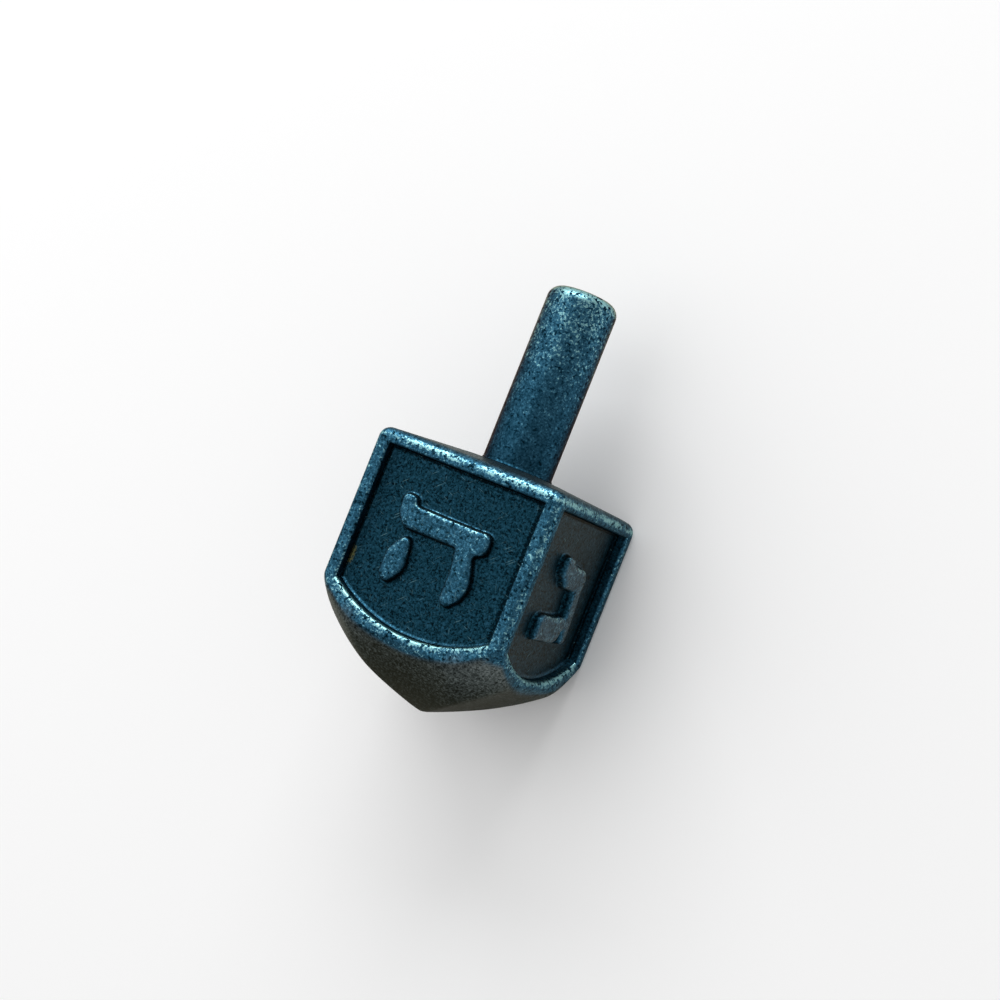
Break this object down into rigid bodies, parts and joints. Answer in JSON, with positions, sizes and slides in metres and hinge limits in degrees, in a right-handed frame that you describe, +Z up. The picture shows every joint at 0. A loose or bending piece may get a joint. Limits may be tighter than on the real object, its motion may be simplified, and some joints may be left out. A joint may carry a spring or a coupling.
{
  "type": "dreidel",
  "caption": "Four-sided spinning top with a square body, recessed letter plates, a blunt four-sided point and a round stem that is twirled between the fingers.",
  "frame": {"origin": "on the surface it lies on, under the middle of its length", "axes": "+Y from the point along the stem to its free end, +Z up out of the side with the letter hei, +X out of the side with the letter gimel"},
  "size_m": [0.015, 0.0322, 0.015],
  "materials": {
    "cast_body": "antiqued blue-green lacquer over cast zinc alloy, tumbled bright on the edges",
    "cast_stem": "antiqued blue-green lacquer over cast zinc alloy, rubbed along its length",
    "letter_plates": "antiqued blue-green lacquer, dark in the recess and worn bright on the raised letter"
  },
  "bodies": {
    "root": {"body": "cast_body", "stem": "cast_stem", "panel_hei": "letter_plates", "panel_gimel": "letter_plates", "panel_nun": "letter_plates", "panel_shin": "letter_plates"}
  },
  "joints": []
}
